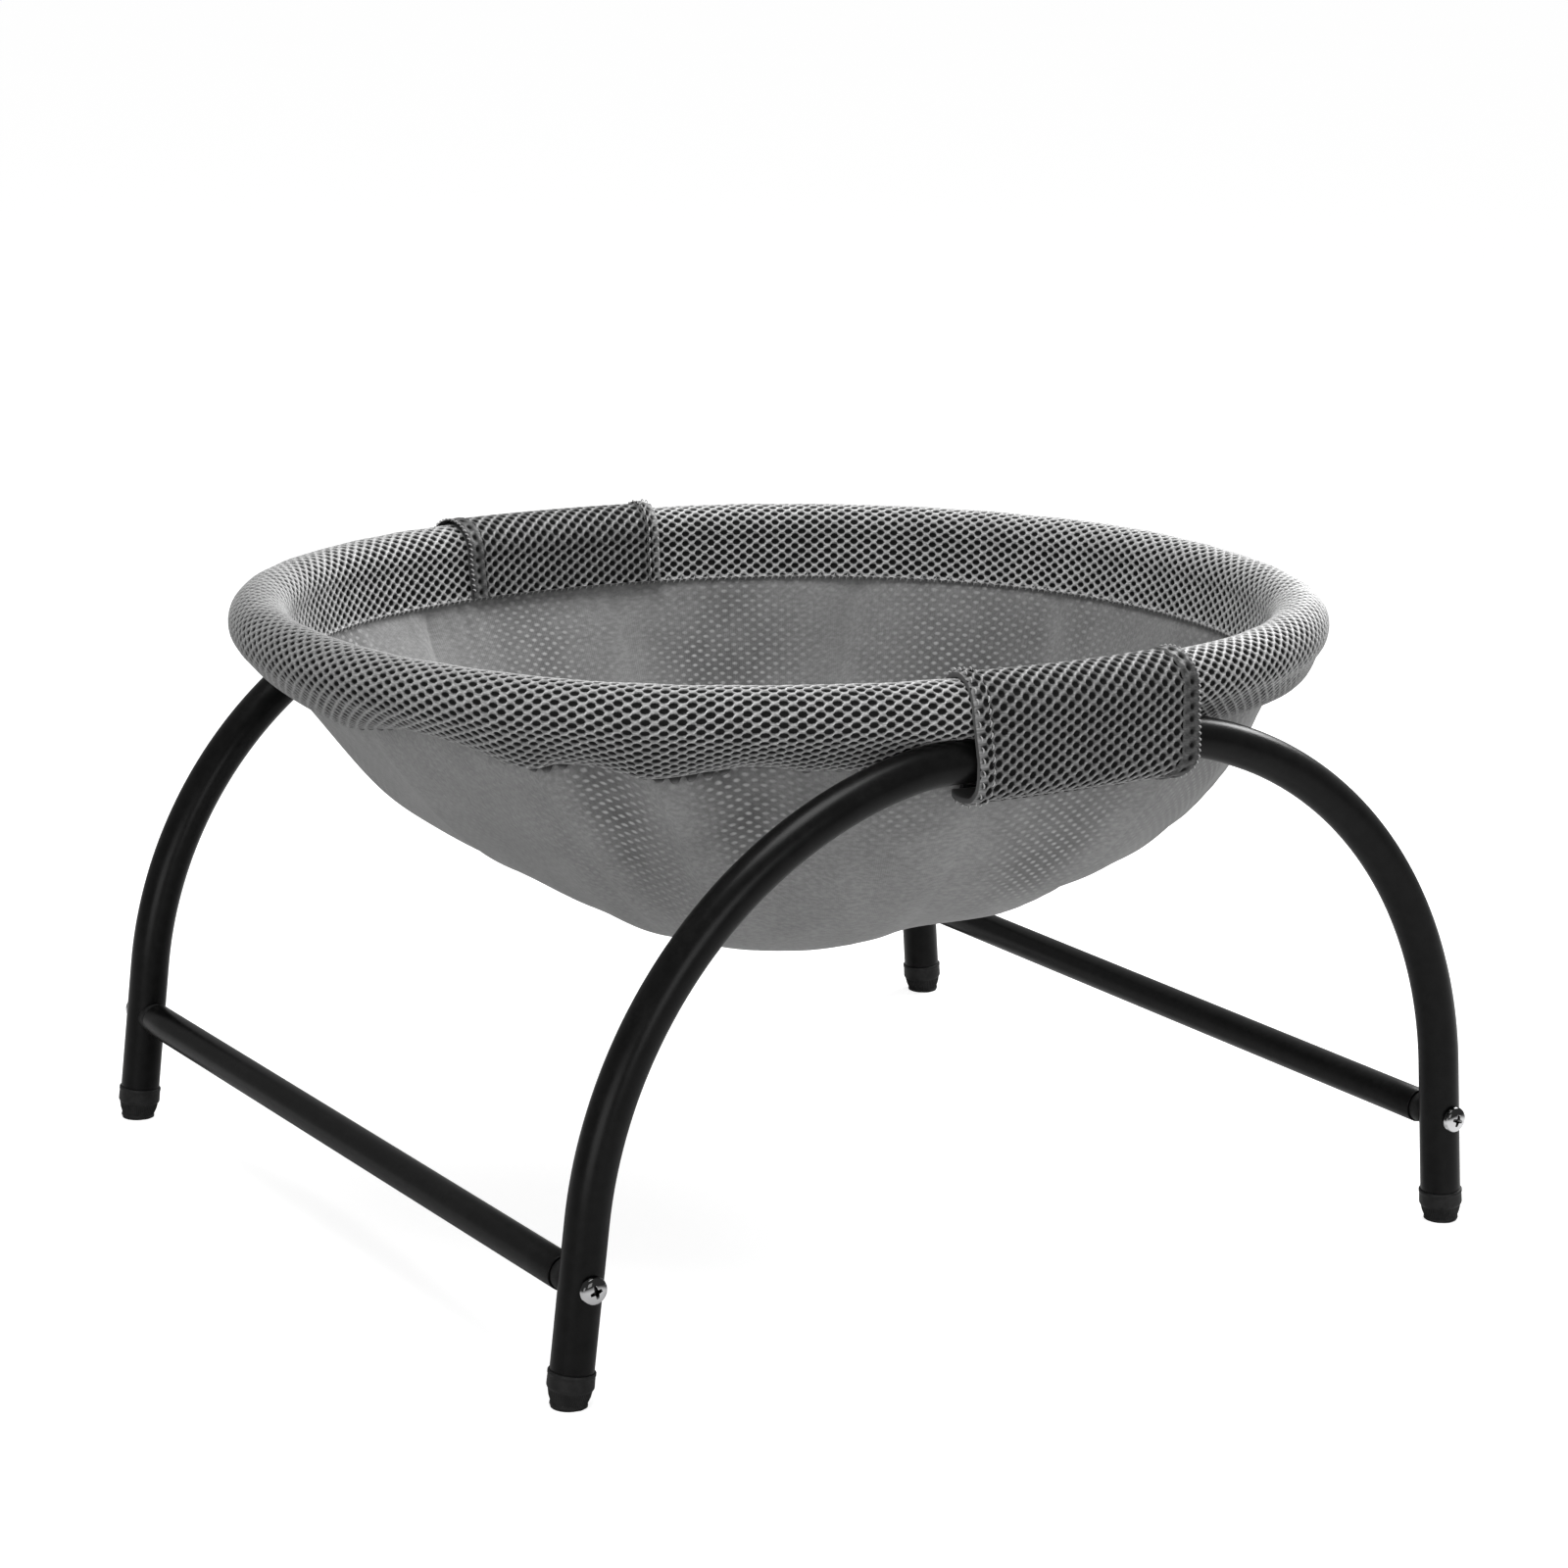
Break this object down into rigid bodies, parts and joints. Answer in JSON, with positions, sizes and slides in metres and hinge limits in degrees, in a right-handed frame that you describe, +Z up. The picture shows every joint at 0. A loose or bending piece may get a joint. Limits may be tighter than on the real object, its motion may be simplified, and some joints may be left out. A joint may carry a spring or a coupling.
{
  "type": "elevated cat cot",
  "caption": "Elevated oval pet cot: a soft grey cloth bowl sewn to a padded round rim, strapped on top of two black bent-tube arches joined by low crossbars.",
  "frame": {"origin": "on the floor under the middle of the frame", "axes": "+X along the arches to the right seen from the front, +Y to the rear, +Z up"},
  "size_m": [0.5306, 0.465, 0.2946],
  "materials": {
    "frame_coat": "satin black powder coat",
    "hoop_steel": "plain black coat, hidden in the rim",
    "chrome": "bright plated screw heads",
    "black_plastic": "moulded black plastic",
    "foot_rubber": "matt black with fine flutes",
    "rim_mesh": "grey knitted spacer mesh",
    "wrap_mesh": "grey knitted spacer mesh with sewn hems",
    "bowl_cloth": "soft grey cloth with a fine raised weave",
    "tape": "black hook and loop tape"
  },
  "bodies": {
    "cot": {"front_arch": "frame_coat", "front_hoop": "hoop_steel", "front_wrap": "wrap_mesh", "front_loop_strip": "tape", "bar_insert_front_left": "black_plastic", "frame_screw_front_left": "chrome", "foot_front_left": "foot_rubber", "bar_insert_front_right": "black_plastic", "frame_screw_front_right": "chrome", "foot_front_right": "foot_rubber", "rear_arch": "frame_coat", "rear_hoop": "hoop_steel", "rear_wrap": "wrap_mesh", "rear_loop_strip": "tape", "bar_insert_rear_left": "black_plastic", "frame_screw_rear_left": "chrome", "foot_rear_left": "foot_rubber", "bar_insert_rear_right": "black_plastic", "frame_screw_rear_right": "chrome", "foot_rear_right": "foot_rubber", "left_crossbar": "frame_coat", "left_hoop_joiner": "black_plastic", "right_crossbar": "frame_coat", "right_hoop_joiner": "black_plastic", "rim_sleeve": "rim_mesh", "bowl_fabric": "bowl_cloth"},
    "front_flap": {"front_wrap_flap": "wrap_mesh", "front_hook_strip": "tape"},
    "rear_flap": {"rear_wrap_flap": "wrap_mesh", "rear_hook_strip": "tape"}
  },
  "joints": [
    {"name": "front_wrap_flap", "type": "hinge", "parent": "cot", "child": "front_flap", "pos_m": [0.009, -0.23005, 0.2503], "axis": [-1, 0, 0], "range_deg": [0, 110]},
    {"name": "rear_wrap_flap", "type": "hinge", "parent": "cot", "child": "rear_flap", "pos_m": [-0.009, 0.23005, 0.2503], "axis": [1, 0, 0], "range_deg": [0, 110]}
  ]
}
